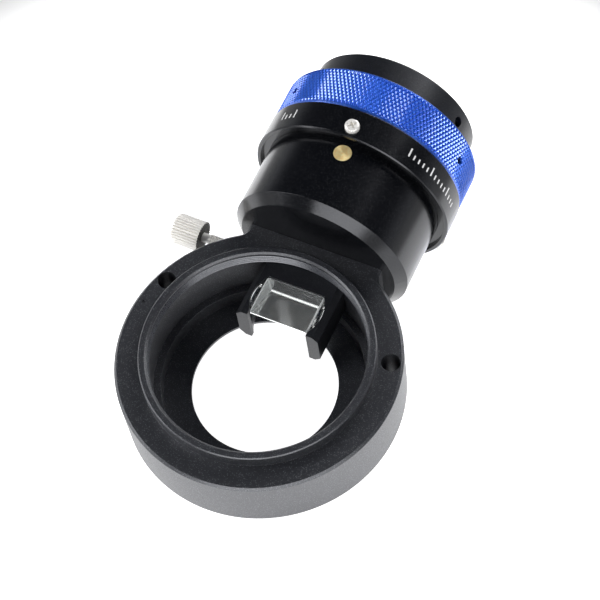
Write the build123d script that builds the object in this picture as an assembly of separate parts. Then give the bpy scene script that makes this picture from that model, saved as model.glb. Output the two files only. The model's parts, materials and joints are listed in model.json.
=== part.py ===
from build123d import *
import math
import os

# Off-axis guider: a shallow body ring goes between a telescope and a camera, a small prism on a
# sliding stalk reaches into its bore, and a helical focuser at the side holds a guide camera.
# Millimetres. Z is the telescope's axis, and z = 0 is the ring's flat face towards the telescope.
# The focuser's axis runs along +Y at x = 0, z = AXIS_Z.

# Shared gaps
CUT_OVERRUN = 1.0
EDGE_MARGIN = 0.1
LOOSE_GAP = 0.1

# Body ring, collar and bore
RING_R = 35.0
RING_HEIGHT = 16.4
RING_CHAMFER = 0.6
COLLAR_R = 28.7
COLLAR_HEIGHT = 3.5
COLLAR_CHAMFER = 0.25
THREAD_R = 26.6
THREAD_END_Z = -0.8
THREAD_RELIEF_R = 27.1
MOUTH_CHAMFER = 0.5
LEDGE_Z = -11.4
LOWER_BORE_R = 25.2
APERTURE_R = 18.2
APERTURE_THICKNESS = 0.8
BOLT_X = 30.1
BOLT_Y = 10.55
BOLT_COUNTERBORE_R = 2.35
BOLT_HOLE_R = 1.35
BOLT_SEAT_THICKNESS = 4.0
PUNCH_X = -32.7
PUNCH_Y = 3.1
PUNCH_R = 0.45
PUNCH_DEPTH = 0.4

# Neck that carries the focuser
NECK_WIDTH = 35.5
NECK_END_Y = 33.05
NECK_FILLET = 3.0

# Prism stalk, a bar with chamfered corners, forked round the prism
STALK_WIDTH = 22.0
STALK_TOP_Z = -0.85
STALK_HEIGHT = 11.2
STALK_FRONT_Y = 9.8
STALK_LENGTH = 28.0
STALK_CORNER = 1.5
STALK_GAP = 0.1
PRISM_WIDTH = 15.6
PRISM_LEG = 11.0
PRISM_TOP_Z = -1.05
PRISM_FRONT_Y = 10.35
PRISM_BEVEL = 0.35
PRISM_GAP = 0.05
SCALLOP_R = 9.3
CEMENT_LENGTH = 6.4
CEMENT_HEIGHT = 2.4
CEMENT_DEPTH = 0.45
LIGHT_SLOT_WIDTH = 13.0
LIGHT_SLOT_HEIGHT = 9.4
STALK_TRAVEL_IN = 3.0
STALK_TRAVEL_OUT = 5.0

# Stalk lock: a thumb screw that turns in a pad which does not
LOCK_Y = 28.2
LOCK_Z = STALK_TOP_Z - STALK_HEIGHT / 2
LOCK_HEAD_X = -29.8
LOCK_HEAD_LENGTH = 7.7
LOCK_HEAD_R = 4.0
LOCK_HEAD_CHAMFER = 0.25
LOCK_SHANK_R = 1.45
LOCK_NECK_R = 1.2
LOCK_NECK_LENGTH = 1.8
LOCK_HOLE_R = 1.5
PAD_R = 1.3
PAD_LENGTH = 1.5
PAD_PIN_R = 0.6
PAD_PIN_LENGTH = 0.8
PAD_FLOOR_GAP = 0.02
GROOVE_DEPTH = 0.6
GROOVE_WIDTH = 2.9

# Helical focuser, radii about its own axis
AXIS_Z = -5.1
SEAT_R = 23.35
SEAT_END_R = 20.9
SEAT_RIM_Y = 35.33
SEAT_WALL = 3.4
SEAT_TOP_Y = 58.0
GUIDE_R = 21.97
SEAT_SCREW_X = 14.4
SEAT_SCREW_RISE = 3.9
SEAT_HOLE_RUNOUT = 0.5

BAND_R = 26.38
BAND_START_Y = 53.2
BAND_END_Y = 61.36
BAND_LIP_R = 25.3
BAND_LIP_DEPTH = 1.1
BAND_FIT = 0.05
BAND_CHAMFER = 0.3
BAND_SPOT_DEPTH = 0.1
BAND_SCREW_Y = 56.0
BAND_SCREW_ANGLE = 2.2

KEY_Y = 50.1
KEY_ANGLE = 2.2
KEY_HEAD_R = 2.25
KEY_DOG_R = 1.0
KEY_DOG_DEPTH = 1.25
KEY_CROWN = 0.05
KEY_SIDE_FIT = 0.03
KEY_TIP_GAP = 0.25

NUT_SLEEVE_R = 23.8
NUT_FLANGE_R = 24.8
NUT_START_Y = 58.3
NUT_FLANGE_LENGTH = 1.4
NUT_END_Y = 71.4
WASHER_THICKNESS = 0.25
WASHER_GAP = 0.025

KNURL_R = 26.2
KNURL_START_Y = 61.46
KNURL_END_Y = 72.6
KNURL_CHAMFER = 0.45
GRUB_Y = 66.8
GRUB_ANGLE = -51.4
GRUB_R = 0.95
GRUB_RECESS = 0.8
GRUB_SOCKET_R = 0.45
GRUB_SOCKET_DEPTH = 0.8

TUBE_R = 21.9
TUBE_START_Y = 44.0
TUBE_END_Y = 81.0
TUBE_CHAMFER = 0.5
TUBE_LOWER_R = 19.2
STOP_R = 14.0
STOP_THICKNESS = 2.0
SOCKET_R = 15.9
SOCKET_DEPTH = 20.0
FOCUS_TRAVEL_IN = 6.0
FOCUS_TRAVEL_OUT = 4.0
CLAMP_Y = 77.0
CLAMP_ANGLE = 62.8
CLAMP_SCREW_R = 1.3
CLAMP_RECESS = 1.5
CLAMP_SOCKET_R = 0.8
CLAMP_SOCKET_DEPTH = 1.4
CLAMP_RING_R = 16.75
CLAMP_RING_BORE_R = 15.9
CLAMP_RING_WIDTH = 2.9
CLAMP_RING_SPLIT = 1.0

SCREWS_ROUND = 3
SCREW_FIT = 0.05
SCREW_TIP_GAP = 0.03
PAN_HEAD_R = 1.85
PAN_HEAD_HEIGHT = 1.25
PAN_HEAD_ROUNDING = 0.6
PAN_SHANK_R = 0.95
PAN_TIP_GAP = 0.3
CROSS_LENGTH = 2.1
CROSS_WIDTH = 0.42
CROSS_DEPTH = 0.8
CAP_HEAD_R = 2.25
CAP_HEAD_HEIGHT = 2.5
CAP_SHANK_R = 1.2
CAP_SHANK_LENGTH = 9.0
CAP_SOCKET_R = 1.15

FOCUS_AXIS = Axis((0, 0, AXIS_Z), (0, 1, 0))
SIDE_PLANE = Plane(origin=(0, 0, AXIS_Z), x_dir=(1, 0, 0), z_dir=(0, 0, 1))


def turned_about_z(points):
    """A solid of revolution about the telescope's axis, from (radius, z) corners."""
    return revolve(Plane.XZ * make_face(Polyline(points, close=True)), Axis.Z)


def turned_about_focuser(points):
    """A solid of revolution about the focuser's axis, from (radius, y) corners."""
    return revolve(SIDE_PLANE * make_face(Polyline(points, close=True)), FOCUS_AXIS)


def tube_about_focuser(outer_r, inner_r, start_y, end_y):
    """A plain tube on the focuser's axis."""
    corners = [(inner_r, start_y), (outer_r, start_y), (outer_r, end_y), (inner_r, end_y)]
    return turned_about_focuser(corners)


def peg(base, direction, radius, length):
    """A cylinder that starts at a point and runs along a direction."""
    return extrude(Plane(origin=base, z_dir=direction) * Circle(radius), length)


def outward(angle):
    """The radial direction of the focuser at an angle, from +Z towards +X."""
    turn = math.radians(angle)
    return Vector(math.sin(turn), 0, math.cos(turn))


def on_focuser(angle, radius, y):
    """A point at a radius and height on the focuser."""
    return Vector(0, y, AXIS_Z) + outward(angle) * radius


def radial_peg(angle, y, inner_r, outer_r, radius):
    """A cylinder that lies along a radius of the focuser."""
    return peg(on_focuser(angle, inner_r, y), outward(angle), radius, outer_r - inner_r)


def round_angles(first):
    """The angles of equally spaced radial screws."""
    return [first + 360.0 * step / SCREWS_ROUND for step in range(SCREWS_ROUND)]


def hex_recess(base, direction, across_r, depth):
    """A hexagon socket, cut from a face along a direction into the metal."""
    return extrude(Plane(origin=base, z_dir=direction) * RegularPolygon(across_r, 6), depth)


def stalk_bar(gap, start_y, end_y):
    """The stalk's chamfered bar, or with a gap the passage it slides in."""
    centre_z = STALK_TOP_Z - STALK_HEIGHT / 2
    section = Rectangle(STALK_WIDTH + 2 * gap, STALK_HEIGHT + 2 * gap)
    section = chamfer(section.vertices(), STALK_CORNER)
    plane = Plane(origin=(0, start_y, centre_z), x_dir=(1, 0, 0), z_dir=(0, 1, 0))
    return extrude(plane * section, end_y - start_y)


def seat_screw_points(y):
    """Where the four screws between neck and seat lie, at a height along the focuser."""
    signs = [(-1, -1), (1, -1), (1, 1), (-1, 1)]
    return [Vector(sx * SEAT_SCREW_X, y, LOCK_Z + sz * SEAT_SCREW_RISE) for sx, sz in signs]


def main_ring():
    """The body: ring, neck and threaded collar, with bore, ledge, aperture and holes."""
    neck = Pos(0, NECK_END_Y / 2) * Rectangle(NECK_WIDTH, NECK_END_Y)
    outline = Circle(RING_R) + neck
    outline -= Pos(0, NECK_END_Y + RING_R) * Rectangle(3 * RING_R, 2 * RING_R)
    inner_corners = outline.vertices().filter_by(lambda corner: corner.Y < NECK_END_Y - EDGE_MARGIN)
    outline = fillet(inner_corners, NECK_FILLET)
    body = extrude(Pos(0, 0, -RING_HEIGHT) * outline, RING_HEIGHT)
    rims = body.edges().filter_by(lambda edge: edge.center().Z > -EDGE_MARGIN)
    rims = rims.filter_by(lambda edge: edge.center().Y < NECK_END_Y - EDGE_MARGIN)
    body = chamfer(rims, RING_CHAMFER)
    body += turned_about_z([
        (0, -EDGE_MARGIN),
        (COLLAR_R, -EDGE_MARGIN),
        (COLLAR_R, COLLAR_HEIGHT - COLLAR_CHAMFER),
        (COLLAR_R - COLLAR_CHAMFER, COLLAR_HEIGHT),
        (0, COLLAR_HEIGHT),
    ])
    body -= turned_about_z([
        (0, -RING_HEIGHT - CUT_OVERRUN),
        (APERTURE_R, -RING_HEIGHT - CUT_OVERRUN),
        (APERTURE_R, APERTURE_THICKNESS - RING_HEIGHT),
        (LOWER_BORE_R, APERTURE_THICKNESS - RING_HEIGHT),
        (LOWER_BORE_R, LEDGE_Z),
        (THREAD_RELIEF_R, LEDGE_Z),
        (THREAD_RELIEF_R, THREAD_END_Z),
        (THREAD_R, THREAD_END_Z),
        (THREAD_R, COLLAR_HEIGHT - MOUTH_CHAMFER),
        (THREAD_R + MOUTH_CHAMFER, COLLAR_HEIGHT),
        (THREAD_R + MOUTH_CHAMFER, COLLAR_HEIGHT + CUT_OVERRUN),
        (0, COLLAR_HEIGHT + CUT_OVERRUN),
    ])
    body -= stalk_bar(STALK_GAP, PRISM_FRONT_Y, NECK_END_Y + CUT_OVERRUN)
    for side in (-1, 1):
        top = (side * BOLT_X, BOLT_Y, 0)
        body -= peg(top, (0, 0, -1), BOLT_COUNTERBORE_R, RING_HEIGHT - BOLT_SEAT_THICKNESS)
        body -= peg(top, (0, 0, -1), BOLT_HOLE_R, RING_HEIGHT)
    body -= peg((PUNCH_X, PUNCH_Y, 0), (0, 0, -1), PUNCH_R, PUNCH_DEPTH)
    lock_hole_length = RING_R - STALK_WIDTH / 2 + CUT_OVERRUN
    body -= peg((-RING_R, LOCK_Y, LOCK_Z), (1, 0, 0), LOCK_HOLE_R, lock_hole_length)
    for point in seat_screw_points(NECK_END_Y):
        depth = CAP_SHANK_LENGTH - SEAT_WALL + SEAT_HOLE_RUNOUT
        body -= peg(point, (0, -1, 0), CAP_SHANK_R + SCREW_FIT, depth)
    return body


def guider_seat():
    """The fixed tube that the focuser slides in, screwed to the neck by its end wall."""
    seat = turned_about_focuser([
        (0, NECK_END_Y),
        (SEAT_END_R, NECK_END_Y),
        (SEAT_R, SEAT_RIM_Y),
        (SEAT_R, SEAT_TOP_Y),
        (GUIDE_R, SEAT_TOP_Y),
        (GUIDE_R, NECK_END_Y + SEAT_WALL),
        (0, NECK_END_Y + SEAT_WALL),
    ])
    wall_start_y = NECK_END_Y - CUT_OVERRUN
    wall_cut = SEAT_WALL + 2 * CUT_OVERRUN
    seat -= stalk_bar(STALK_GAP, wall_start_y, wall_start_y + wall_cut)
    for point in seat_screw_points(wall_start_y):
        seat -= peg(point, (0, 1, 0), CAP_SHANK_R + 2 * SCREW_FIT, wall_cut)
    inner_r = GUIDE_R - CUT_OVERRUN
    outer_r = SEAT_R + CUT_OVERRUN
    for angle in round_angles(BAND_SCREW_ANGLE):
        seat -= radial_peg(angle, BAND_SCREW_Y, inner_r, outer_r, PAN_SHANK_R + SCREW_FIT)
    seat -= radial_peg(KEY_ANGLE, KEY_Y, inner_r, outer_r, KEY_HEAD_R + SCREW_FIT)
    return seat


def seat_screw(point):
    """A socket-head screw that holds the seat to the neck."""
    screw = peg(point, (0, 1, 0), CAP_HEAD_R, CAP_HEAD_HEIGHT)
    screw += peg(point, (0, -1, 0), CAP_SHANK_R, CAP_SHANK_LENGTH)
    face = point + Vector(0, CAP_HEAD_HEIGHT, 0)
    screw -= hex_recess(face, (0, -1, 0), CAP_SOCKET_R, CAP_HEAD_HEIGHT / 2)
    return screw


def prism_stalk():
    """The sliding bar, forked round the prism, with its light slot and its side groove."""
    stalk = stalk_bar(0, STALK_FRONT_Y, STALK_FRONT_Y + STALK_LENGTH)
    seat_y = PRISM_FRONT_Y + PRISM_LEG + PRISM_GAP
    pocket_width = PRISM_WIDTH + 2 * PRISM_GAP
    tall = 3 * STALK_HEIGHT
    pocket = Box(pocket_width, 2 * (seat_y - STALK_FRONT_Y), tall)
    stalk -= Pos(0, STALK_FRONT_Y, LOCK_Z) * pocket
    middle_y = PRISM_FRONT_Y + PRISM_LEG / 2
    scallops = Pos(0, middle_y, LOCK_Z) * Cylinder(SCALLOP_R, tall)
    scallops &= Pos(0, middle_y, LOCK_Z) * Box(4 * SCALLOP_R, PRISM_LEG, tall)
    stalk -= scallops
    slot_plane = Plane(origin=(0, seat_y - CUT_OVERRUN, LOCK_Z), x_dir=(1, 0, 0), z_dir=(0, 1, 0))
    light_slot = slot_plane * SlotOverall(LIGHT_SLOT_WIDTH, LIGHT_SLOT_HEIGHT)
    stalk -= extrude(light_slot, STALK_LENGTH)
    groove_length = STALK_TRAVEL_IN + STALK_TRAVEL_OUT + GROOVE_WIDTH
    groove_y = LOCK_Y + (STALK_TRAVEL_IN - STALK_TRAVEL_OUT) / 2
    groove_start = (-STALK_WIDTH / 2, groove_y, LOCK_Z)
    groove_plane = Plane(origin=groove_start, x_dir=(0, 1, 0), z_dir=(1, 0, 0))
    stalk -= extrude(groove_plane * SlotOverall(groove_length, GROOVE_WIDTH), GROOVE_DEPTH)
    return stalk


def prism():
    """A right-angle prism: flat on top, upright at the back, 45 degrees underneath."""
    profile = Polyline(
        [
            (PRISM_FRONT_Y, PRISM_TOP_Z),
            (PRISM_FRONT_Y + PRISM_LEG, PRISM_TOP_Z),
            (PRISM_FRONT_Y + PRISM_LEG, PRISM_TOP_Z - PRISM_LEG),
        ],
        close=True,
    )
    plane = Plane(origin=(-PRISM_WIDTH / 2, 0, 0), x_dir=(0, 1, 0), z_dir=(1, 0, 0))
    glass = extrude(plane * make_face(profile), PRISM_WIDTH)
    return chamfer(glass.edges(), PRISM_BEVEL)


def prism_cement(side):
    """A bead of cement between the prism's end and the scallop beside it."""
    middle_z = PRISM_TOP_Z - CEMENT_DEPTH - CEMENT_HEIGHT / 2
    middle = Pos(0, PRISM_FRONT_Y + PRISM_LEG / 2, middle_z)
    bead = middle * Cylinder(SCALLOP_R - PRISM_GAP, CEMENT_HEIGHT)
    outer_x = side * (PRISM_WIDTH / 2 + PRISM_GAP / 2 + SCALLOP_R / 2)
    bead &= middle * Pos(outer_x, 0, 0) * Box(SCALLOP_R, CEMENT_LENGTH, 2 * CEMENT_HEIGHT)
    return bead


def pad_tip_x():
    """Where the pad meets the groove's floor when the lock is tight."""
    return -STALK_WIDTH / 2 + GROOVE_DEPTH - PAD_FLOOR_GAP


def clamp_pad():
    """The pad at the thumb screw's tip. It slides with the screw and does not turn."""
    start = (pad_tip_x() - PAD_LENGTH, LOCK_Y, LOCK_Z)
    pad = peg(start, (1, 0, 0), PAD_R, PAD_LENGTH)
    pad -= peg(start, (1, 0, 0), PAD_PIN_R + SCREW_FIT, PAD_PIN_LENGTH + SCREW_FIT)
    return pad


def thumb_screw():
    """The knurled thumb screw that locks the stalk."""
    axis = (1, 0, 0)
    head = peg((LOCK_HEAD_X - LOCK_HEAD_LENGTH, LOCK_Y, LOCK_Z), axis, LOCK_HEAD_R, LOCK_HEAD_LENGTH)
    head = chamfer(head.edges(), LOCK_HEAD_CHAMFER)
    screw = head + peg((LOCK_HEAD_X, LOCK_Y, LOCK_Z), axis, LOCK_NECK_R, LOCK_NECK_LENGTH)
    thread_x = LOCK_HEAD_X + LOCK_NECK_LENGTH
    tip_x = pad_tip_x() - PAD_LENGTH - SCREW_FIT
    screw += peg((thread_x, LOCK_Y, LOCK_Z), axis, LOCK_SHANK_R, tip_x - thread_x)
    screw += peg((tip_x, LOCK_Y, LOCK_Z), axis, PAD_PIN_R, PAD_PIN_LENGTH)
    return screw


def marker_band():
    """The fixed band that holds the focus nut on the seat."""
    band = turned_about_focuser([
        (SEAT_R + BAND_FIT, BAND_START_Y + BAND_LIP_DEPTH),
        (BAND_LIP_R, BAND_START_Y + BAND_LIP_DEPTH),
        (BAND_LIP_R, BAND_START_Y),
        (BAND_R - BAND_CHAMFER, BAND_START_Y),
        (BAND_R, BAND_START_Y + BAND_CHAMFER),
        (BAND_R, BAND_END_Y - BAND_CHAMFER),
        (BAND_R - BAND_CHAMFER, BAND_END_Y),
        (NUT_SLEEVE_R + 2 * BAND_FIT, BAND_END_Y),
        (NUT_SLEEVE_R + 2 * BAND_FIT, upper_washer_y() + WASHER_THICKNESS + WASHER_GAP),
        (NUT_FLANGE_R + 2 * BAND_FIT, upper_washer_y() + WASHER_THICKNESS + WASHER_GAP),
        (NUT_FLANGE_R + 2 * BAND_FIT, SEAT_TOP_Y),
        (SEAT_R + BAND_FIT, SEAT_TOP_Y),
    ])
    spot_r = BAND_R - BAND_SPOT_DEPTH
    outer_r = BAND_R + CUT_OVERRUN
    for angle in round_angles(BAND_SCREW_ANGLE):
        band -= radial_peg(angle, BAND_SCREW_Y, GUIDE_R, outer_r, PAN_SHANK_R + 2 * SCREW_FIT)
        band -= radial_peg(angle, BAND_SCREW_Y, spot_r, outer_r, PAN_HEAD_R + 2 * SCREW_FIT)
    return band


def band_screw(angle):
    """A cross-recessed pan-head screw that goes through the band into the seat."""
    head_base = BAND_R - BAND_SPOT_DEPTH
    head = radial_peg(angle, BAND_SCREW_Y, head_base, BAND_R + PAN_HEAD_HEIGHT, PAN_HEAD_R)
    middle = on_focuser(angle, 0, BAND_SCREW_Y)
    outermost = head.edges().sort_by(lambda edge: (edge.center() - middle).length)[-1:]
    head = fillet(outermost, PAN_HEAD_ROUNDING)
    screw = head + radial_peg(angle, BAND_SCREW_Y, GUIDE_R + PAN_TIP_GAP, BAND_R, PAN_SHANK_R)
    face = on_focuser(angle, BAND_R + PAN_HEAD_HEIGHT, BAND_SCREW_Y)
    cross_plane = Plane(origin=face, x_dir=(0, 1, 0), z_dir=outward(angle))
    for turn in (45, 135):
        screw -= cross_plane * Rot(0, 0, turn) * Box(CROSS_LENGTH, CROSS_WIDTH, 2 * CROSS_DEPTH)
    return screw


def guide_key():
    """The brass plug whose dog runs in the draw tube's slot and stops it turning."""
    head_r = GUIDE_R + LOOSE_GAP
    key = radial_peg(KEY_ANGLE, KEY_Y, head_r, SEAT_R + KEY_CROWN, KEY_HEAD_R)
    key += radial_peg(KEY_ANGLE, KEY_Y, GUIDE_R - KEY_DOG_DEPTH, head_r, KEY_DOG_R)
    return key


def upper_washer_y():
    """Where the washer above the nut's flange starts."""
    return NUT_START_Y + NUT_FLANGE_LENGTH + WASHER_GAP


def lower_thrust_washer():
    """The slip washer between the seat's end and the nut's flange."""
    start_y = SEAT_TOP_Y + WASHER_GAP
    end_y = start_y + WASHER_THICKNESS
    return tube_about_focuser(SEAT_R - LOOSE_GAP, GUIDE_R + 2 * LOOSE_GAP, start_y, end_y)


def upper_thrust_washer():
    """The slip washer between the nut's flange and the band's lip."""
    start_y = upper_washer_y()
    end_y = start_y + WASHER_THICKNESS
    return tube_about_focuser(NUT_FLANGE_R, NUT_SLEEVE_R + LOOSE_GAP, start_y, end_y)


def focus_nut():
    """The flanged nut on the draw tube's thread, held between the seat and the band."""
    return turned_about_focuser([
        (GUIDE_R, NUT_START_Y),
        (NUT_FLANGE_R, NUT_START_Y),
        (NUT_FLANGE_R, NUT_START_Y + NUT_FLANGE_LENGTH),
        (NUT_SLEEVE_R, NUT_START_Y + NUT_FLANGE_LENGTH),
        (NUT_SLEEVE_R, NUT_END_Y),
        (GUIDE_R, NUT_END_Y),
    ])


def focus_ring():
    """The knurled ring that turns the nut."""
    ring = turned_about_focuser([
        (NUT_SLEEVE_R + BAND_FIT, KNURL_START_Y),
        (KNURL_R - KNURL_CHAMFER, KNURL_START_Y),
        (KNURL_R, KNURL_START_Y + KNURL_CHAMFER),
        (KNURL_R, KNURL_END_Y - KNURL_CHAMFER),
        (KNURL_R - KNURL_CHAMFER, KNURL_END_Y),
        (GUIDE_R + LOOSE_GAP, KNURL_END_Y),
        (GUIDE_R + LOOSE_GAP, NUT_END_Y + LOOSE_GAP),
        (NUT_SLEEVE_R + BAND_FIT, NUT_END_Y + LOOSE_GAP),
    ])
    for angle in round_angles(GRUB_ANGLE):
        ring -= radial_peg(angle, GRUB_Y, GUIDE_R, KNURL_R + CUT_OVERRUN, GRUB_R + SCREW_FIT)
    return ring


def focus_ring_grub(angle):
    """A grub screw that locks the knurled ring to the nut."""
    outer_r = KNURL_R - GRUB_RECESS
    grub = radial_peg(angle, GRUB_Y, NUT_SLEEVE_R + SCREW_TIP_GAP, outer_r, GRUB_R)
    face = on_focuser(angle, outer_r, GRUB_Y)
    grub -= hex_recess(face, -outward(angle), GRUB_SOCKET_R, GRUB_SOCKET_DEPTH)
    return grub


def draw_tube():
    """The sliding tube with the guide camera's socket."""
    stop_y = TUBE_END_Y - SOCKET_DEPTH
    groove_start = CLAMP_Y - CLAMP_RING_WIDTH / 2 - SCREW_FIT
    groove_end = CLAMP_Y + CLAMP_RING_WIDTH / 2 + SCREW_FIT
    tube = turned_about_focuser([
        (TUBE_LOWER_R, TUBE_START_Y),
        (TUBE_R, TUBE_START_Y),
        (TUBE_R, TUBE_END_Y - TUBE_CHAMFER),
        (TUBE_R - TUBE_CHAMFER, TUBE_END_Y),
        (SOCKET_R + TUBE_CHAMFER, TUBE_END_Y),
        (SOCKET_R, TUBE_END_Y - TUBE_CHAMFER),
        (SOCKET_R, groove_end),
        (CLAMP_RING_R + SCREW_FIT, groove_end),
        (CLAMP_RING_R + SCREW_FIT, groove_start),
        (SOCKET_R, groove_start),
        (SOCKET_R, stop_y),
        (STOP_R, stop_y),
        (STOP_R, stop_y - STOP_THICKNESS),
        (TUBE_LOWER_R, stop_y - STOP_THICKNESS),
    ])
    slot_half = KEY_DOG_R + KEY_SIDE_FIT
    slot_start = KEY_Y - FOCUS_TRAVEL_OUT - slot_half
    slot_end = KEY_Y + FOCUS_TRAVEL_IN + slot_half
    slot_depth = KEY_DOG_DEPTH + KEY_TIP_GAP
    slot_plane = Plane(
        origin=on_focuser(KEY_ANGLE, TUBE_R - slot_depth, (slot_start + slot_end) / 2),
        x_dir=(0, 1, 0),
        z_dir=outward(KEY_ANGLE),
    )
    key_slot = slot_plane * SlotOverall(slot_end - slot_start, 2 * slot_half)
    tube -= extrude(key_slot, slot_depth + CUT_OVERRUN)
    outer_r = TUBE_R + CUT_OVERRUN
    for angle in round_angles(CLAMP_ANGLE):
        tube -= radial_peg(angle, CLAMP_Y, SOCKET_R, outer_r, CLAMP_SCREW_R + SCREW_FIT)
    return tube


def camera_clamp_screw(angle):
    """A set screw that presses the clamp ring on the guide camera's nose."""
    outer_r = TUBE_R - CLAMP_RECESS
    screw = radial_peg(angle, CLAMP_Y, CLAMP_RING_R + SCREW_TIP_GAP, outer_r, CLAMP_SCREW_R)
    face = on_focuser(angle, outer_r, CLAMP_Y)
    screw -= hex_recess(face, -outward(angle), CLAMP_SOCKET_R, CLAMP_SOCKET_DEPTH)
    return screw


def clamp_ring():
    """The split ring that spreads the set screws' pressure, in the socket's groove."""
    start_y = CLAMP_Y - CLAMP_RING_WIDTH / 2
    ring = tube_about_focuser(CLAMP_RING_R, CLAMP_RING_BORE_R, start_y, start_y + CLAMP_RING_WIDTH)
    wall = CLAMP_RING_R - CLAMP_RING_BORE_R
    ring -= Pos(0, CLAMP_Y, AXIS_Z + SOCKET_R) * Box(CLAMP_RING_SPLIT, 2 * CLAMP_RING_WIDTH, 4 * wall)
    return ring


def all_nodes():
    """Every piece by its name."""
    nodes = {
        "main_ring": main_ring(),
        "guider_seat": guider_seat(),
        "prism_stalk": prism_stalk(),
        "prism": prism(),
        "prism_cement_left": prism_cement(-1),
        "prism_cement_right": prism_cement(1),
        "thumb_screw": thumb_screw(),
        "clamp_pad": clamp_pad(),
        "marker_band": marker_band(),
        "guide_key": guide_key(),
        "lower_thrust_washer": lower_thrust_washer(),
        "upper_thrust_washer": upper_thrust_washer(),
        "focus_nut": focus_nut(),
        "focus_ring": focus_ring(),
        "draw_tube": draw_tube(),
        "clamp_ring": clamp_ring(),
    }
    for number, point in enumerate(seat_screw_points(NECK_END_Y + SEAT_WALL), start=1):
        nodes[f"seat_screw_{number}"] = seat_screw(point)
    for number, angle in enumerate(round_angles(BAND_SCREW_ANGLE), start=1):
        nodes[f"band_screw_{number}"] = band_screw(angle)
    for number, angle in enumerate(round_angles(GRUB_ANGLE), start=1):
        nodes[f"focus_ring_grub_{number}"] = focus_ring_grub(angle)
    for number, angle in enumerate(round_angles(CLAMP_ANGLE), start=1):
        nodes[f"camera_clamp_screw_{number}"] = camera_clamp_screw(angle)
    return nodes


os.makedirs("parts", exist_ok=True)
for name, solid in all_nodes().items():
    export_step(solid, f"parts/{name}.step")
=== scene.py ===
import json
import math

import bmesh
import bpy
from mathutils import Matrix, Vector


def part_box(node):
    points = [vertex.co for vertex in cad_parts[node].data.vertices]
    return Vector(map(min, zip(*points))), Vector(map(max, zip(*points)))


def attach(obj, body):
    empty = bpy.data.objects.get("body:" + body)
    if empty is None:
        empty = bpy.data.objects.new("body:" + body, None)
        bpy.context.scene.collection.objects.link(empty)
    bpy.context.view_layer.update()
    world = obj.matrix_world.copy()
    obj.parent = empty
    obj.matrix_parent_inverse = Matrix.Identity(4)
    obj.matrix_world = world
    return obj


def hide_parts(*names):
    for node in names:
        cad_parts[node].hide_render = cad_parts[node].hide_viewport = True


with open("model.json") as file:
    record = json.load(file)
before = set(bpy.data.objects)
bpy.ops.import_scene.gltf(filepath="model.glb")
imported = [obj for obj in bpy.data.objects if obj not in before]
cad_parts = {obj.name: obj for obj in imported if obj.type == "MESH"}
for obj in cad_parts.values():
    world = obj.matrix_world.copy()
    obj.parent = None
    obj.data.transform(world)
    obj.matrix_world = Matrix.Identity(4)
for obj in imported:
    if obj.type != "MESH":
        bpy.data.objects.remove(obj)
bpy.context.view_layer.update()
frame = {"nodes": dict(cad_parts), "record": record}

# An off-axis guider on a white table. Lengths are in millimetres until they are scaled by MM.
# Only the lights' places and sizes and the table's size are in metres.
MM = 0.001

# Where the CAD puts things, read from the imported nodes
RING_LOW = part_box("main_ring")[0] / MM
BAND_LOW, BAND_HIGH = (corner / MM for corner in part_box("marker_band"))
KNURL_LOW, KNURL_HIGH = (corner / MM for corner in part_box("focus_ring"))
NUT_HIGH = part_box("focus_nut")[1] / MM
SCREW_LOW, SCREW_HIGH = (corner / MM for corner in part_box("thumb_screw"))
PRISM_LOW, PRISM_HIGH = (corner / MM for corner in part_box("prism"))
MOUNTS = {mount["name"]: mount for mount in frame["record"]["mounts"]}
FOCUSER_Z = (KNURL_LOW.z + KNURL_HIGH.z) / 2


def on_focuser(angle, radius, y):
    """A point round the focuser's axis. The angle in radians turns from +Z towards +X."""
    return (radius * math.sin(angle), y, FOCUSER_Z + radius * math.cos(angle))


def on_telescope(angle, radius, z):
    """A point round the telescope's axis. The angle in radians turns from +X towards +Y."""
    return (radius * math.cos(angle), radius * math.sin(angle), z)


def on_thumb_screw(angle, radius, x):
    """A point round the thumb screw's axis, which runs along X."""
    middle = (SCREW_LOW + SCREW_HIGH) / 2
    return (x, middle.y + radius * math.sin(angle), middle.z + radius * math.cos(angle))


# Mesh building

# A face looks along a direction when the cosine of the angle between them is above this
FACING_DOT = 0.99


def new_mesh(name, points, faces, smooth=False):
    """A mesh object from points in millimetres, with its faces turned outwards."""
    mesh = bpy.data.meshes.new(name)
    mesh.from_pydata([Vector(point) * MM for point in points], [], faces)
    sheet = bmesh.new()
    sheet.from_mesh(mesh)
    bmesh.ops.recalc_face_normals(sheet, faces=sheet.faces)
    sheet.to_mesh(mesh)
    sheet.free()
    for polygon in mesh.polygons:
        polygon.use_smooth = smooth
    piece = bpy.data.objects.new(name, mesh)
    bpy.context.scene.collection.objects.link(piece)
    return piece


def ring_faces(first, second):
    """Quads between two closed rings of as many vertex numbers."""
    count = len(first)
    return [
        (first[i], first[(i + 1) % count], second[(i + 1) % count], second[i])
        for i in range(count)
    ]


def chain_faces(rings):
    """Quads along a chain of rings that all have as many vertex numbers."""
    faces = []
    for first, second in zip(rings, rings[1:]):
        faces += ring_faces(first, second)
    return faces


def capped_faces(rings):
    """The faces along a chain of rings, and a cap at each end."""
    return chain_faces(rings) + [tuple(rings[0]), tuple(rings[-1])]


def add_ring(points, place, angles, radius, along):
    """Adds a ring of points and returns their numbers."""
    first = len(points)
    points += [place(angle, radius, along) for angle in angles]
    return list(range(first, len(points)))


# A thread's ridge: half its width at the foot and at the crest as shares of the pitch, the part of a turn
# over which it fades out, and the least share of its height
THREAD_FOOT = 0.48
THREAD_CREST = 0.08
THREAD_FADE = 0.25
THREAD_LEAST = 0.02


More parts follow.
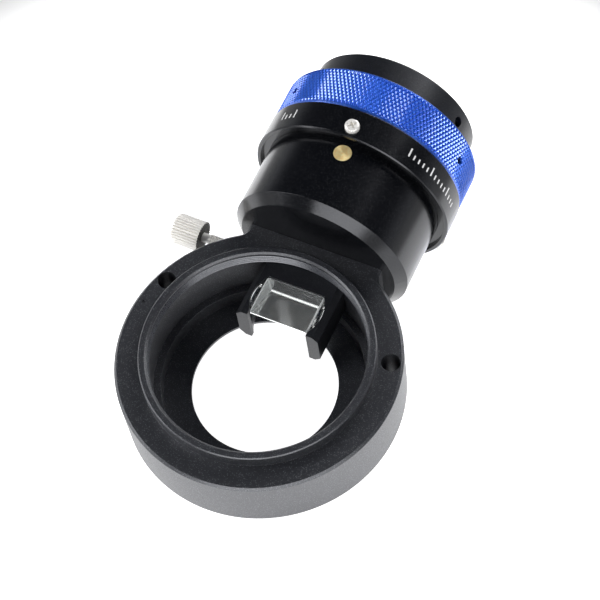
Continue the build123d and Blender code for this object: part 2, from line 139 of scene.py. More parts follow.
def helix_ridge(place, start, turns, pitch, base_r, crest_r, steps):
    """A thread's ridge as a closed sweep of a flat-topped tooth. Its height fades out at both ends."""
    points, faces = [], []
    total = round(turns * steps)
    fade = steps * THREAD_FADE
    for i in range(total + 1):
        angle = 2 * math.pi * i / steps
        along = start + pitch * i / steps
        height = min(1.0, i / fade, (total - i) / fade)
        top_r = base_r + (crest_r - base_r) * max(height, THREAD_LEAST)
        points += [
            place(angle, base_r, along - THREAD_FOOT * pitch),
            place(angle, top_r, along - THREAD_CREST * pitch),
            place(angle, top_r, along + THREAD_CREST * pitch),
            place(angle, base_r, along + THREAD_FOOT * pitch),
        ]
        if i:
            here, back = 4 * i, 4 * (i - 1)
            faces += [(back + k, back + (k + 1) % 4, here + (k + 1) % 4, here + k) for k in range(4)]
    faces += [(3, 2, 1, 0), tuple(4 * total + k for k in range(4))]
    return points, faces


# Materials


def noise(tree, scale, detail):
    """A noise texture in the object's own metres, as many cells a metre as the scale says."""
    place = tree.nodes.new("ShaderNodeTexCoord")
    texture = tree.nodes.new("ShaderNodeTexNoise")
    texture.inputs["Scale"].default_value = scale
    texture.inputs["Detail"].default_value = detail
    tree.links.new(place.outputs["Object"], texture.inputs["Vector"])
    return texture.outputs["Fac"]


def dots(tree, scale, core, rim):
    """Small round dots scattered through the object, as many a metre as the scale says."""
    place = tree.nodes.new("ShaderNodeTexCoord")
    texture = tree.nodes.new("ShaderNodeTexVoronoi")
    texture.inputs["Scale"].default_value = scale
    tree.links.new(place.outputs["Object"], texture.inputs["Vector"])
    return ramp(tree, texture.outputs["Distance"], [(core, 1.0), (rim, 0.0)])


def ramp(tree, value, stops):
    """A colour ramp from a value. Each stop is a position and a grey or a colour."""
    node = tree.nodes.new("ShaderNodeValToRGB")
    while len(node.color_ramp.elements) < len(stops):
        node.color_ramp.elements.new(0.5)
    for element, (position, colour) in zip(node.color_ramp.elements, stops):
        element.position = position
        shade = (colour,) * 3 if isinstance(colour, float) else colour
        element.color = (*shade, 1.0)
    tree.links.new(value, node.inputs["Fac"])
    return node.outputs["Color"]


def mottled(tree, scale, detail, low, high):
    """Two greys or two colours mixed by noise."""
    return ramp(tree, noise(tree, scale, detail), [(0.3, low), (0.7, high)])


def bump(tree, shader, height, distance, below=None):
    """Raises the surface by a height texture, at most by the distance in millimetres."""
    node = tree.nodes.new("ShaderNodeBump")
    node.inputs["Distance"].default_value = distance * MM
    node.inputs["Strength"].default_value = 1.0
    tree.links.new(height, node.inputs["Height"])
    if below is not None:
        tree.links.new(below, node.inputs["Normal"])
    tree.links.new(node.outputs["Normal"], shader.inputs["Normal"])


def new_material(name, **settings):
    """A material with a Principled shader, its plain settings given by socket name."""
    material = bpy.data.materials.new(name)
    material.use_nodes = True
    tree = material.node_tree
    shader = next(node for node in tree.nodes if node.type == "BSDF_PRINCIPLED")
    for socket, value in settings.items():
        shader.inputs[socket.replace("_", " ")].default_value = value
    return material, tree, shader


BEVEL_SAMPLES = 4


def round_edges(tree, radius):
    """The surface's direction with its sharp edges broken by a small radius in millimetres."""
    node = tree.nodes.new("ShaderNodeBevel")
    node.samples = BEVEL_SAMPLES
    node.inputs["Radius"].default_value = radius * MM
    return node.outputs["Normal"]


EDGE_RADIUS = 0.12


def black_anodised(name, dark, light, speck, roughness=(0.3, 0.4), grain=0.02, shine=2.0):
    """Bead-blasted aluminium, dyed black: a dense fine grain with pale specks and broken edges."""
    material, tree, shader = new_material(name, IOR=shine, Specular_Tint=(0.93, 0.945, 1.0, 1.0))
    low_shade = (dark, dark * 1.1, dark * 1.5)
    high_shade = (light, light * 1.1, light * 1.4)
    base = ramp(tree, noise(tree, 2300, 4.0), [(0.32, low_shade), (0.72, high_shade)])
    specks = dots(tree, 2600, 0.14, 0.3)
    mix = tree.nodes.new("ShaderNodeMix")
    mix.data_type = "RGBA"
    mix.inputs["B"].default_value = (speck, speck * 1.04, speck * 1.12, 1.0)
    tree.links.new(specks, mix.inputs["Factor"])
    tree.links.new(base, mix.inputs["A"])
    tree.links.new(mix.outputs["Result"], shader.inputs["Base Color"])
    tree.links.new(mottled(tree, 3100, 3.0, *roughness), shader.inputs["Roughness"])
    bump(tree, shader, noise(tree, 4200, 3.0), grain, below=round_edges(tree, EDGE_RADIUS))
    return material


def blue_anodised():
    """Blue-dyed aluminium, bright under a clear oxide."""
    material, tree, shader = new_material(
        "blue_anodised_aluminium",
        Metallic=0.6,
        Coat_Weight=1.0,
        Coat_Roughness=0.12,
        Coat_IOR=1.8,
    )
    colour = mottled(tree, 1800, 3.0, (0.02, 0.12, 0.72), (0.045, 0.20, 0.92))
    tree.links.new(colour, shader.inputs["Base Color"])
    tree.links.new(mottled(tree, 3000, 2.0, 0.26, 0.38), shader.inputs["Roughness"])
    bump(tree, shader, noise(tree, 5200, 2.0), 0.006)
    return material


def nickel_plate(name, roughness=(0.3, 0.4), ripple=0.0015):
    """Satin nickel with the faint ripple of the plating."""
    material, tree, shader = new_material(name, Metallic=0.3)
    colour = mottled(tree, 700, 3.0, (0.92, 0.90, 0.86), (0.99, 0.97, 0.93))
    tree.links.new(colour, shader.inputs["Base Color"])
    tree.links.new(mottled(tree, 1500, 3.0, *roughness), shader.inputs["Roughness"])
    bump(tree, shader, noise(tree, 1400, 2.0), ripple)
    return material


def painted_shade_plating():
    """A dark, dull copy of the nickel for the thumb screw head's inner end face: painted shade on that
    face.
    """
    material, tree, shader = new_material("dull_end_face", Roughness=0.6)
    shader.inputs["Specular IOR Level"].default_value = 0.12
    colour = mottled(tree, 1800, 3.0, (0.045, 0.044, 0.042), (0.11, 0.108, 0.1))
    tree.links.new(colour, shader.inputs["Base Color"])
    bump(tree, shader, noise(tree, 3000, 2.0), 0.006)
    return material


LATHE_PITCH = 0.3
LATHE_DEPTH = 0.015


def turned_brass():
    """Brass faced on a lathe, with fine rings round the key's middle."""
    material, tree, shader = new_material("turned_brass_metal", Metallic=0.45, Anisotropic=0.95)
    colour = mottled(tree, 1600, 3.0, (1.0, 0.70, 0.27), (1.0, 0.87, 0.47))
    tree.links.new(colour, shader.inputs["Base Color"])
    tree.links.new(mottled(tree, 2500, 2.0, 0.44, 0.52), shader.inputs["Roughness"])
    round_z = tree.nodes.new("ShaderNodeTangent")
    round_z.direction_type = "RADIAL"
    round_z.axis = "Z"
    tree.links.new(round_z.outputs["Tangent"], shader.inputs["Tangent"])
    place = tree.nodes.new("ShaderNodeTexCoord")
    flat = tree.nodes.new("ShaderNodeVectorMath")
    flat.operation = "MULTIPLY"
    flat.inputs[1].default_value = (1.0, 1.0, 0.0)
    tree.links.new(place.outputs["Object"], flat.inputs[0])
    reach = tree.nodes.new("ShaderNodeVectorMath")
    reach.operation = "DISTANCE"
    low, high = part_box("guide_key")
    middle = (low + high) / 2
    reach.inputs[1].default_value = (middle.x, middle.y, 0.0)
    tree.links.new(flat.outputs["Vector"], reach.inputs[0])
    wave = tree.nodes.new("ShaderNodeMath")
    wave.operation = "PINGPONG"
    wave.inputs[1].default_value = LATHE_PITCH / 2 * MM
    tree.links.new(reach.outputs["Value"], wave.inputs[0])
    height = tree.nodes.new("ShaderNodeMath")
    height.operation = "MULTIPLY"
    height.inputs[1].default_value = 2 / (LATHE_PITCH * MM)
    tree.links.new(wave.outputs["Value"], height.inputs[0])
    bump(tree, shader, height.outputs["Value"], LATHE_DEPTH)
    return material


def black_steel():
    """Oiled black oxide on steel."""
    material, tree, shader = new_material("black_oxide_steel", Metallic=1.0)
    colour = mottled(tree, 2200, 3.0, 0.03, 0.09)
    tree.links.new(colour, shader.inputs["Base Color"])
    tree.links.new(mottled(tree, 1800, 2.0, 0.3, 0.45), shader.inputs["Roughness"])
    bump(tree, shader, noise(tree, 3200, 2.0), 0.008)
    return material


def optical_glass():
    """Polished crown glass with a trace of haze and dust."""
    material, tree, shader = new_material(
        "optical_crown_glass", Transmission_Weight=0.945, IOR=1.517, Base_Color=(0.97, 0.99, 0.98, 1.0)
    )
    dust = ramp(tree, noise(tree, 700, 4.0), [(0.62, 0.0), (0.8, 0.12)])
    tree.links.new(dust, shader.inputs["Roughness"])
    return material


def ground_glass():
    """The prism's ground ends and bevels, frosted white."""
    material, tree, shader = new_material("ground_glass_edges", Transmission_Weight=0.25, IOR=1.517)
    colour = mottled(tree, 2400, 3.0, (0.80, 0.83, 0.83), (0.93, 0.95, 0.95))
    tree.links.new(colour, shader.inputs["Base Color"])
    tree.links.new(mottled(tree, 3600, 2.0, 0.5, 0.7), shader.inputs["Roughness"])
    return material


def painted_glow_material():
    """A weak glow, painted light. On the prism's narrow ground bevels it stands for the light gathered
    inside the glass, on the cement's raised edge for a highlight.
    """
    material, tree, shader = new_material("ground_glass_bevels", Emission_Strength=0.7)
    colour = mottled(tree, 2400, 3.0, (0.90, 0.92, 0.92), (0.98, 0.99, 0.99))
    tree.links.new(colour, shader.inputs["Base Color"])
    tree.links.new(colour, shader.inputs["Emission Color"])
    tree.links.new(mottled(tree, 3600, 2.0, 0.4, 0.6), shader.inputs["Roughness"])
    return material


def clear_cement():
    """Cured cement, clear, with a wavy skin."""
    material, tree, shader = new_material("cured_clear_cement", Transmission_Weight=1.0, IOR=1.5)
    colour = mottled(tree, 900, 2.0, (0.86, 0.88, 0.87), (0.95, 0.96, 0.95))
    tree.links.new(colour, shader.inputs["Base Color"])
    tree.links.new(mottled(tree, 1300, 2.0, 0.02, 0.09), shader.inputs["Roughness"])
    bump(tree, shader, noise(tree, 600, 2.0), 0.05)
    return material


def white_slip_plastic():
    """Natural slip plastic, waxy and slightly translucent."""
    material, tree, shader = new_material("white_slip_polymer", Subsurface_Weight=0.15, Roughness=0.45)
    colour = mottled(tree, 500, 3.0, (0.80, 0.79, 0.75), (0.88, 0.87, 0.84))
    tree.links.new(colour, shader.inputs["Base Color"])
    bump(tree, shader, noise(tree, 2600, 2.0), 0.006)
    return material


def white_ink():
    """Printed white ink, slightly uneven."""
    material, tree, shader = new_material("printed_white_ink", Roughness=0.5)
    colour = mottled(tree, 3000, 3.0, 0.72, 0.9)
    tree.links.new(colour, shader.inputs["Base Color"])
    bump(tree, shader, noise(tree, 5000, 2.0), 0.004)
    return material


def paint(piece, material):
    """Gives an object one material."""
    if piece.material_slots:
        for slot in piece.material_slots:
            slot.link = "OBJECT"
            slot.material = material
    else:
        piece.data.materials.append(material)


# The knurled focus ring

KNURLS_ROUND = 148
KNURL_HALF_ROWS = 11
KNURL_DEPTH = 0.32
KNURL_FLAT = 0.2
KNURL_EDGE = 0.5
KNURL_BEVEL = 0.3

# The ring's bore clears the nut's sleeve, which is smaller than the nut's flange. Its lip covers the
# nut's end. Its grub screw holes are cut with pegs that run past both walls.
FLANGE_HEIGHT = 1.0
SLEEVE_GAP = 0.05
LIP_HEIGHT = 1.78
LIP_GAP = 0.1
GRUB_HOLE_R = 1.0
GRUB_OVERRUN = 1.0


def knurl_angles(j):
    """The angles of the valleys' crossings in one half row of the knurl."""
    turn = math.pi / KNURLS_ROUND
    return [k * turn for k in range(2 * KNURLS_ROUND) if (k + j) % 2 == 0]


def knurl_grid(place, outer_r, start, end):
    """Diamond pyramids on a cylinder. Returns points, faces and the two border rings."""
    points, faces, number = [], [], {}
    low_r = outer_r - KNURL_DEPTH
    step = (end - start) / KNURL_HALF_ROWS
    turn = math.pi / KNURLS_ROUND

    def valley(k, j):
        key = (k % (2 * KNURLS_ROUND), j)
        if key not in number:
            number[key] = len(points)
            points.append(place(key[0] * turn, low_r, start + j * step))
        return number[key]

    def top(k, j):
        points.append(place(k * turn, outer_r, start + j * step))
        return len(points) - 1

    for j in range(KNURL_HALF_ROWS + 1):
        for k in range(2 * KNURLS_ROUND):
            if (k + j) % 2 == 0:
                continue
            sides = [(k - 1, j), (k, j - 1), (k + 1, j), (k, j + 1)]
            sides = [side for side in sides if 0 <= side[1] <= KNURL_HALF_ROWS]
            middle_j = sum(side[1] for side in sides) / len(sides)
            low = [valley(*side) for side in sides]
            high = [
                top(k + KNURL_FLAT * (side[0] - k), middle_j + KNURL_FLAT * (side[1] - middle_j))
                for side in sides
            ]
            faces.append(tuple(high))
            faces += ring_faces(low, high)
    borders = []
    for j in (0, KNURL_HALF_ROWS):
        borders.append([valley(k, j) for k in range(2 * KNURLS_ROUND) if (k + j) % 2 == 0])
    return points, faces, borders


def cut_with(piece, cutters):
    """Takes cutters out of a piece for good and removes them."""
    for cutter in cutters:
        modifier = piece.modifiers.new("cut", "BOOLEAN")
        modifier.operation = "DIFFERENCE"
        modifier.solver = "EXACT"
        modifier.object = cutter
    graph = bpy.context.evaluated_depsgraph_get()
    cut = bpy.data.meshes.new_from_object(piece.evaluated_get(graph))
    piece.modifiers.clear()
    piece.data = cut
    for cutter in cutters:
        bpy.data.objects.remove(cutter)


PEG_SIDES = 32


def peg_between(name, low, high, radius):
    """A round peg between two points, used as a cutter."""
    low, high = Vector(low), Vector(high)
    turn = (high - low).to_track_quat("Z", "Y")
    points = []
    for end in (low, high):
        for i in range(PEG_SIDES):
            angle = 2 * math.pi * i / PEG_SIDES
            offset = Vector((radius * math.cos(angle), radius * math.sin(angle), 0))
            points.append(end + turn @ offset)
    numbers = list(range(2 * PEG_SIDES))
    return new_mesh(name, points, capped_faces([numbers[:PEG_SIDES], numbers[PEG_SIDES:]]))


def grub_axis(number):
    """The angle and the height of a grub screw, from its CAD node."""
    low, high = (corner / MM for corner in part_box(f"focus_ring_grub_{number}"))
    middle = (low + high) / 2
    return math.atan2(middle.x, middle.z - FOCUSER_Z), middle.y


def knurled_ring():
    """The blue focus ring with its diamond knurl, chamfered edges and grub screw holes."""
    outer_r = KNURL_HIGH.x
    bore_r = NUT_HIGH.x - FLANGE_HEIGHT + SLEEVE_GAP
    lip_r = bore_r - LIP_HEIGHT
    start, end = KNURL_LOW.y, KNURL_HIGH.y
    lip_y = NUT_HIGH.y + LIP_GAP
    points, faces, borders = knurl_grid(on_focuser, outer_r, start + KNURL_EDGE, end - KNURL_EDGE)
    low_angles, high_angles = knurl_angles(0), knurl_angles(KNURL_HALF_ROWS)
    low_r = outer_r - KNURL_DEPTH
    below = [
        add_ring(points, on_focuser, low_angles, low_r, start + KNURL_BEVEL),
        add_ring(points, on_focuser, low_angles, low_r - KNURL_BEVEL, start),
        add_ring(points, on_focuser, low_angles, bore_r, start),
    ]
    above = [
        add_ring(points, on_focuser, high_angles, low_r, end - KNURL_BEVEL),
        add_ring(points, on_focuser, high_angles, low_r - KNURL_BEVEL, end),
        add_ring(points, on_focuser, high_angles, lip_r, end),
        add_ring(points, on_focuser, high_angles, lip_r, lip_y),
        add_ring(points, on_focuser, high_angles, bore_r, lip_y),
    ]
    faces += chain_faces([*reversed(above), borders[1]])
    faces += chain_faces([borders[0], *below])
    faces += ring_faces(below[-1], above[-1])
    ring = new_mesh("knurled_focus_ring", points, faces)
    cutters = []
    for number in (1, 2, 3):
        angle, y = grub_axis(number)
        low = on_focuser(angle, bore_r - GRUB_OVERRUN, y)
        high = on_focuser(angle, outer_r + GRUB_OVERRUN, y)
        cutters.append(peg_between(f"grub_cutter_{number}", low, high, GRUB_HOLE_R))
    cut_with(ring, cutters)
    return ring


# The thumb screw

TEETH_ROUND = 32
TOOTH_DEPTH = 0.5
HEAD_LENGTH = 7.7
DISH_DEPTH = 0.35
DISH_R = 1.6
DISH_FOOT_R = 2.1
DISH_RIM_R = 2.5
HEAD_EDGE = 0.04
GROOVE_RUNOUT = 0.62
NECK_R = 1.2
NECK_LENGTH = 1.8
SCREW_PITCH = 0.5
SCREW_ROOT_R = 1.2
SCREW_CREST_R = 1.45
PIN_R = 0.6
PIN_LENGTH = 0.8
SHANK_SIDES = 32
SHANK_JOG = 0.02
SHANK_OVERLAP = 0.1
POINT_LENGTH = 0.3
POINT_DROP = 0.2
SCREW_THREAD_STEPS = 24

# One tooth round the head: the part of a pitch, and the share of the groove's depth there
TOOTH_SHAPE = [(0.0, 1.0), (0.16, 0.25), (0.3, 0.0), (0.7, 0.0), (0.84, 0.25)]

# The head's rounded outer edge: the distance from its end, the drop below its radius, and the share of the
# groove's depth there
HEAD_ROUNDING = [(0.0, 0.75, 0.0), (0.12, 0.38, 0.15), (0.38, 0.12, 0.6), (0.75, 0.0, 1.0)]


def knurled_head():
    """The straight-knurled head: V grooves between flat-topped teeth, rounded at the outer end."""
    head_r = (SCREW_HIGH.z - SCREW_LOW.z) / 2
    outer_x = SCREW_LOW.x
    inner_x = outer_x + HEAD_LENGTH
    stations = [
        (outer_x + DISH_DEPTH, DISH_R, 0.0),
        (outer_x + DISH_DEPTH, DISH_FOOT_R, 0.0),
        (outer_x, DISH_RIM_R, 0.0),
        *((outer_x + along, head_r - drop, share) for along, drop, share in HEAD_ROUNDING),
        (inner_x - HEAD_EDGE, head_r, 1.0),
        (inner_x, head_r - HEAD_EDGE, 1.0),
        (inner_x, head_r - GROOVE_RUNOUT, 0.0),
        (inner_x, NECK_R, 0.0),
        (inner_x + NECK_LENGTH, NECK_R, 0.0),
    ]
    points, rings = [], []
    for x, radius, share in stations:
        first = len(points)
        for tooth in range(TEETH_ROUND):
            for part, cut in TOOTH_SHAPE:
                angle = 2 * math.pi * (tooth + part) / TEETH_ROUND
                points.append(on_thumb_screw(angle, radius - TOOTH_DEPTH * share * cut, x))
        rings.append(list(range(first, len(points))))
    return points, capped_faces(rings)


def darken_end(head, material):
    """Gives the flat inner end face of the head its own material, the darker copy that paints shade on it.
    """
    head.data.materials.append(material)
    inner_x = SCREW_LOW.x + HEAD_LENGTH - HEAD_EDGE
    for polygon in head.data.polygons:
        if polygon.center.x / MM > inner_x and polygon.normal.x > FACING_DOT:
            polygon.material_index = 1


def screw_shank():
    """The threaded shank's core and the pin at its tip."""
    tip_x = SCREW_HIGH.x
    shoulder_x = tip_x - PIN_LENGTH
    start_x = SCREW_LOW.x + HEAD_LENGTH + NECK_LENGTH
    stations = [
        (start_x - SHANK_OVERLAP, SCREW_ROOT_R - SHANK_JOG),
        (start_x + SHANK_OVERLAP, SCREW_ROOT_R + SHANK_JOG),
        (shoulder_x - POINT_LENGTH, SCREW_ROOT_R + SHANK_JOG),
        (shoulder_x, SCREW_ROOT_R - POINT_DROP),
        (shoulder_x, PIN_R),
        (tip_x, PIN_R),
    ]
    angles = [2 * math.pi * i / SHANK_SIDES for i in range(SHANK_SIDES)]
    points = []
    rings = [add_ring(points, on_thumb_screw, angles, radius, x) for x, radius in stations]
    return points, capped_faces(rings)


def screw_thread():
    """The thumb screw's M3 thread."""
    start_x = SCREW_LOW.x + HEAD_LENGTH + NECK_LENGTH + SCREW_PITCH / 2
    end_x = SCREW_HIGH.x - PIN_LENGTH - SCREW_PITCH
    turns = (end_x - start_x) / SCREW_PITCH
    sizes = (SCREW_PITCH, SCREW_ROOT_R, SCREW_CREST_R, SCREW_THREAD_STEPS)
    return helix_ridge(on_thumb_screw, start_x, turns, *sizes)


# The collar's thread

COLLAR_THREAD_R = MOUNTS["telescope_thread"]["dims"]["r_mm"]
COLLAR_THREAD_PITCH = 0.75
COLLAR_THREAD_RISE = 0.23
COLLAR_THREAD_LOW = -0.8
COLLAR_THREAD_HIGH = 3.0
COLLAR_THREAD_SINK = 0.02
COLLAR_THREAD_STEPS = 180


def collar_thread():
    """The ridges of the fine thread inside the collar."""
    start = COLLAR_THREAD_LOW + COLLAR_THREAD_PITCH / 2
    turns = (COLLAR_THREAD_HIGH - COLLAR_THREAD_LOW) / COLLAR_THREAD_PITCH - 1
    base_r = COLLAR_THREAD_R + COLLAR_THREAD_SINK
    crest_r = COLLAR_THREAD_R - COLLAR_THREAD_RISE
    sizes = (COLLAR_THREAD_PITCH, base_r, crest_r, COLLAR_THREAD_STEPS)
    return new_mesh("collar_thread_ridges", *helix_ridge(on_telescope, start, turns, *sizes))


# The prism and the cement beside it

PRISM_LEG = 11.0
PRISM_BEVEL = 0.35
BEAD_STEPS = 24
BEAD_ACROSS = 8
BEAD_SAG = 0.5
BEAD_END_POWER = 4


def prism_glass(polished, ground, bevelled):
    """The right-angle prism: three polished faces, with ground ends and ground bevels."""
    front_y = PRISM_HIGH.y - PRISM_LEG
    foot_z = PRISM_HIGH.z - PRISM_LEG
    points = []
    for x in (PRISM_LOW.x, PRISM_HIGH.x):
        points += [(x, front_y, PRISM_HIGH.z), (x, PRISM_HIGH.y, PRISM_HIGH.z), (x, PRISM_HIGH.y, foot_z)]
    faces = [(0, 1, 2), (5, 4, 3), (0, 3, 4, 1), (1, 4, 5, 2), (2, 5, 3, 0)]
    piece = new_mesh("prism_glass", points, faces)
    sheet = bmesh.new()
    sheet.from_mesh(piece.data)
    bmesh.ops.bevel(
        sheet,
        geom=list(sheet.edges),
        offset=PRISM_BEVEL * MM,
        offset_type="OFFSET",
        segments=1,
        profile=0.5,
        affect="EDGES",
        clamp_overlap=True,
    )
    bmesh.ops.recalc_face_normals(sheet, faces=sheet.faces)
    half = math.sqrt(0.5)
    clear = [Vector((0, 0, 1)), Vector((0, 1, 0)), Vector((0, -half, -half))]
    front_edge = (clear[0] + clear[2]).normalized()
    foot_edge = (clear[1] + clear[2]).normalized()
    for face in sheet.faces:
        face.material_index = 1
        if any(face.normal.dot(direction) > FACING_DOT for direction in clear):
            face.material_index = 0
        # The front and foot edge bevels get the glowing material: painted light.
        if any(face.normal.dot(direction) > FACING_DOT for direction in (front_edge, foot_edge)):
            face.material_index = 2
    sheet.to_mesh(piece.data)
    sheet.free()
    for material in (polished, ground, bevelled):
        piece.data.materials.append(material)
    return piece


def cement_bead(side):
    """A bead of cement with a hollow skin, drawn up where it meets the glass and the metal."""
    low, high = (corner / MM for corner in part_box(f"prism_cement_{side}"))
    inner_x = min(abs(low.x), abs(high.x))
    outer_x = max(abs(low.x), abs(high.x))
    sign = 1 if low.x > 0 else -1
    middle_y = (low.y + high.y) / 2
    half = (high.y - low.y) / 2
    points = []
    for z_top in (True, False):
        for i in range(BEAD_STEPS + 1):
            offset = half * (2 * i / BEAD_STEPS - 1)
            reach = math.sqrt(outer_x * outer_x - offset * offset)
            for j in range(BEAD_ACROSS + 1):
                part = j / BEAD_ACROSS
                x = inner_x + (reach - inner_x) * part
                ends = (offset / half) ** BEAD_END_POWER
                sag = BEAD_SAG * (1 - (2 * part - 1) ** 2) * (1 - ends)
                points.append((sign * x, middle_y + offset, high.z - sag if z_top else low.z))
    row = BEAD_ACROSS + 1
    layer = row * (BEAD_STEPS + 1)
    faces = []
    for i in range(BEAD_STEPS):
        for j in range(BEAD_ACROSS):
            corner = i * row + j
            quad = (corner, corner + 1, corner + row + 1, corner + row)
            faces += [quad, tuple(number + layer for number in quad)]
    border = list(range(row))
    border += [i * row + BEAD_ACROSS for i in range(1, BEAD_STEPS + 1)]
    border += [BEAD_STEPS * row + j for j in range(BEAD_ACROSS - 1, -1, -1)]
    border += [i * row for i in range(BEAD_STEPS - 1, 0, -1)]
    faces += ring_faces(border, [number + layer for number in border])
    return new_mesh(f"cement_bead_{side}", points, faces, smooth=True)


MENISCUS_R = 0.09
MENISCUS_INSET = 0.12
MENISCUS_SPAN = (-0.7, 0.8)
MENISCUS_SIDES = 8
MENISCUS_LEAST = 0.1


def cement_meniscus(side):
    """The raised edge of the cement along the scallop's wall, painted with a glow: a painted highlight."""
    low, high = (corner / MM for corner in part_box(f"prism_cement_{side}"))
    outer_x = max(abs(low.x), abs(high.x))
    sign = 1 if low.x > 0 else -1
    middle_y = (low.y + high.y) / 2
    half = (high.y - low.y) / 2
    points, rings = [], []
    start, end = MENISCUS_SPAN
    for i in range(BEAD_STEPS + 1):
        part = i / BEAD_STEPS
        offset = half * (start + (end - start) * part)
        reach = math.sqrt(outer_x * outer_x - offset * offset) - MENISCUS_INSET
        thickness = MENISCUS_R * max(math.sin(math.pi * part), MENISCUS_LEAST)
        first = len(points)
        for j in range(MENISCUS_SIDES):
            turn = 2 * math.pi * j / MENISCUS_SIDES
            across, up = thickness * math.cos(turn), thickness * math.sin(turn)
            points.append((sign * (reach + across), middle_y + offset, high.z + up))
        rings.append(list(range(first, len(points))))
    return new_mesh(f"cement_meniscus_{side}", points, capped_faces(rings), smooth=True)


# Marks on the fixed band: a plain scale in place of the maker's print

MARK_HEIGHT = 0.03
MARK_SINK = 0.02
MARK_MIDDLE_Y = 57.5
SHORT_MARK = 1.3
LONG_MARK = 2.4
MARK_WIDTH = 0.42
MARK_STEP = 3.4

# The two runs of strokes: the first stroke's angle in degrees, the count, and how often one is long
MARK_RUNS = [(36.0, 14, 5), (-46.0, 4, 3)]


def band_mark(number, angle, length):
    """A raised ink stroke that lies along the focuser's axis and bends with the band."""
    band_r = BAND_HIGH.x
    half = math.degrees(MARK_WIDTH / 2 / band_r)
    points = []
    low_y = MARK_MIDDLE_Y - LONG_MARK / 2
    for radius in (band_r - MARK_SINK, band_r + MARK_HEIGHT):
        for y in (low_y, low_y + length):
            for side in (-1, 0, 1):
                points.append(on_focuser(math.radians(angle + side * half), radius, y))
    faces = [(0, 1, 4, 3), (1, 2, 5, 4), (6, 7, 10, 9), (7, 8, 11, 10)]
    faces += [(0, 1, 7, 6), (1, 2, 8, 7), (3, 4, 10, 9), (4, 5, 11, 10), (0, 3, 9, 6), (2, 5, 11, 8)]
    return new_mesh(f"band_mark_{number}", points, faces)


def band_marks():
    """Every run's strokes, numbered from 1."""
    marks = []
    for first_angle, count, long_every in MARK_RUNS:
        for i in range(count):
            length = LONG_MARK if i % long_every == 0 else SHORT_MARK
            marks.append(band_mark(len(marks) + 1, first_angle + MARK_STEP * i, length))
    return marks


# Putting the object together

BLACK = black_anodised("black_anodised_body", dark=0.002, light=0.016, speck=0.16, roughness=(0.32, 0.44))
BLACK_FINE = black_anodised(
    "black_anodised_focuser",
    dark=0.0015,
    light=0.005,
    speck=0.022,
    roughness=(0.14, 0.24),
    grain=0.008,
    shine=1.55,
)
BLACK_STALK = black_anodised("black_anodised_stalk", dark=0.003, light=0.009, speck=0.03, shine=1.6)
# A lighter copy of the black for the collar's thread ridges. Its higher shine is real; its lighter colour
# is painted sheen for the crests' highlights.
BLACK_THREAD = black_anodised(
    "black_anodised_thread",
    dark=0.008,
    light=0.03,
    speck=0.12,
    roughness=(0.26, 0.34),
    grain=0.008,
    shine=2.1,
)
BLACK_TUBE = black_anodised(
    "black_anodised_tube", dark=0.004, light=0.011, speck=0.03, roughness=(0.28, 0.38), shine=1.55
)
BLUE = blue_anodised()
NICKEL = nickel_plate("nickel_thumb_screw")
NICKEL_SMALL = nickel_plate("nickel_small_screw", roughness=(0.22, 0.34), ripple=0.02)
BRASS = turned_brass()
STEEL = black_steel()
SHADE_PLATING = painted_shade_plating()
GLASS = optical_glass()
GROUND = ground_glass()
PAINTED_GLOW = painted_glow_material()
CEMENT = clear_cement()
SLIP = white_slip_plastic()
INK = white_ink()

NODE_MATERIALS = {
    "main_ring": BLACK,
    "guider_seat": BLACK_FINE,
    "marker_band": BLACK_FINE,
    "focus_nut": BLACK_FINE,
    "draw_tube": BLACK_TUBE,
    "prism_stalk": BLACK_STALK,
    "prism": GLASS,
    "prism_cement_left": CEMENT,
    "prism_cement_right": CEMENT,
    "guide_key": BRASS,
    "clamp_ring": BRASS,
    "clamp_pad": SLIP,
    "lower_thrust_washer": SLIP,
    "upper_thrust_washer": SLIP,
}
for name, node in frame["nodes"].items():
    if name.startswith(("seat_screw", "focus_ring_grub", "camera_clamp_screw")):
        paint(node, STEEL)
    elif name.startswith("band_screw"):
        paint(node, NICKEL_SMALL)
    elif name in NODE_MATERIALS:
        paint(node, NODE_MATERIALS[name])

blue_ring = knurled_ring()
paint(blue_ring, BLUE)
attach(blue_ring, "focus_ring")
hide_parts("focus_ring")

head = new_mesh("thumb_screw_head", *knurled_head())
shank = new_mesh("thumb_screw_shank", *screw_shank(), smooth=True)
thread = new_mesh("thumb_screw_thread", *screw_thread())
for piece in (head, shank, thread):
    paint(piece, NICKEL)
    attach(piece, "lock_screw")
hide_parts("thumb_screw")
# Painted shade on the head's inner end face.
darken_end(head, SHADE_PLATING)

glass = prism_glass(GLASS, GROUND, PAINTED_GLOW)
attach(glass, "prism_stalk")
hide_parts("prism")
for side in ("left", "right"):
    bead = cement_bead(side)
    paint(bead, CEMENT)
    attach(bead, "prism_stalk")
    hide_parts(f"prism_cement_{side}")
    edge = cement_meniscus(side)
    # The meniscus glows: a painted highlight.
    paint(edge, PAINTED_GLOW)
    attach(edge, "prism_stalk")

ridges = collar_thread()
paint(ridges, BLACK_THREAD)
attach(ridges, "root")

for mark in band_marks():
    paint(mark, INK)
    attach(mark, "root")


# The stage: a white table that the object leans on, soft light and the camera

TABLE_SIZE = 3.0
TABLE_GAP = 0.02
TABLE_MIDDLE = (-6.0, 31.0, -28.0)

# How far from the middle the table's painted pool of light starts to fade to grey, and where the fade ends
TABLE_LIT = 112.0
TABLE_DARK = 150.0

CAMERA_PLACE = (138.71, -183.79, 423.47)
CAMERA_TURN = (29.472, 5.098, 25.051)
CAMERA_LENS = 120.63


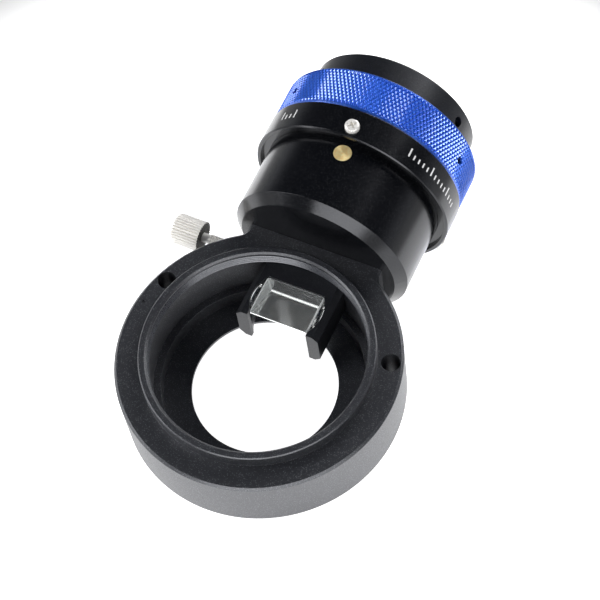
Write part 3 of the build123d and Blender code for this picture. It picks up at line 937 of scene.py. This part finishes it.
def floor():
    """A white table under the band's lower rim and the ring's bottom edge. Its colour and glow fade to
    grey further away: a painted pool of light.
    """
    rear = Vector((0, BAND_LOW.y, BAND_LOW.z)) * MM
    front = Vector((0, RING_LOW.y, RING_LOW.z)) * MM
    along = (rear - front).normalized()
    middle = (rear + front) / 2 - Vector((0, -along.z, along.y)) * TABLE_GAP * MM
    half = TABLE_SIZE / 2
    mesh = bpy.data.meshes.new("table")
    signs = ((-1, -1), (1, -1), (1, 1), (-1, 1))
    corners = [middle + along * y * half + Vector((x * half, 0, 0)) for x, y in signs]
    mesh.from_pydata(corners, [], [(0, 1, 2, 3)])
    table = bpy.data.objects.new("table", mesh)
    bpy.context.scene.collection.objects.link(table)
    material, tree, shader = new_material("white_table", Roughness=0.9, Emission_Strength=0.95)
    shader.inputs["Specular IOR Level"].default_value = 0.1
    place = tree.nodes.new("ShaderNodeTexCoord")
    reach = tree.nodes.new("ShaderNodeVectorMath")
    reach.operation = "DISTANCE"
    reach.inputs[1].default_value = Vector(TABLE_MIDDLE) * MM
    tree.links.new(place.outputs["Object"], reach.inputs[0])
    # Painted pool of light: the table's colour and glow darken away from its middle.
    stops = [(TABLE_LIT * MM, (0.86, 0.86, 0.86)), (TABLE_DARK * MM, (0.3, 0.3, 0.3))]
    tree.links.new(ramp(tree, reach.outputs["Value"], stops), shader.inputs["Base Color"])
    stops = [(TABLE_LIT * MM, (1.0, 1.0, 1.0)), (TABLE_DARK * MM, (0.2, 0.2, 0.2))]
    tree.links.new(ramp(tree, reach.outputs["Value"], stops), shader.inputs["Emission Color"])
    mesh.materials.append(material)


def softbox(name, place, width, height, watts):
    """An upright area light that faces the object."""
    lamp = bpy.data.lights.new(name, "AREA")
    lamp.shape = "RECTANGLE"
    lamp.size = width
    lamp.size_y = height
    lamp.energy = watts
    light = bpy.data.objects.new(name, lamp)
    light.location = place
    light.rotation_euler = (-Vector(place)).to_track_quat("-Z", "Y").to_euler()
    bpy.context.scene.collection.objects.link(light)


def surroundings():
    """A dim room, brighter near the horizon than overhead."""
    world = bpy.data.worlds.new("studio")
    world.use_nodes = True
    tree = world.node_tree
    background = next(node for node in tree.nodes if node.type == "BACKGROUND")
    place = tree.nodes.new("ShaderNodeTexCoord")
    split = tree.nodes.new("ShaderNodeSeparateXYZ")
    tree.links.new(place.outputs["Generated"], split.inputs["Vector"])
    stops = [
        (0.0, (0.4, 0.41, 0.43)),
        (0.14, (0.16, 0.165, 0.18)),
        (0.32, (0.03, 0.033, 0.042)),
        (0.9, (0.016, 0.02, 0.03)),
    ]
    tree.links.new(ramp(tree, split.outputs["Z"], stops), background.inputs["Color"])
    background.inputs["Strength"].default_value = 1.0
    bpy.context.scene.world = world


def camera():
    """The camera, above the collar and to its front right."""
    lens = bpy.data.cameras.new("camera")
    lens.lens = CAMERA_LENS
    lens.clip_start = 0.01
    view = bpy.data.objects.new("camera", lens)
    view.location = Vector(CAMERA_PLACE) * MM
    view.rotation_euler = [math.radians(angle) for angle in CAMERA_TURN]
    bpy.context.scene.collection.objects.link(view)
    bpy.context.scene.camera = view


floor()
softbox("left_softbox", (-0.8, -0.3, 0.55), 0.8, 0.8, 8.5)
softbox("right_softbox", (0.75, -0.45, 0.5), 0.6, 0.6, 3.0)
softbox("front_softbox", (0.2, -0.95, 0.36), 1.0, 0.4, 5.0)
softbox("back_softbox", (0.22, 0.88, 0.42), 0.8, 0.6, 9.5)
surroundings()
camera()
bpy.context.scene.view_settings.view_transform = "Standard"
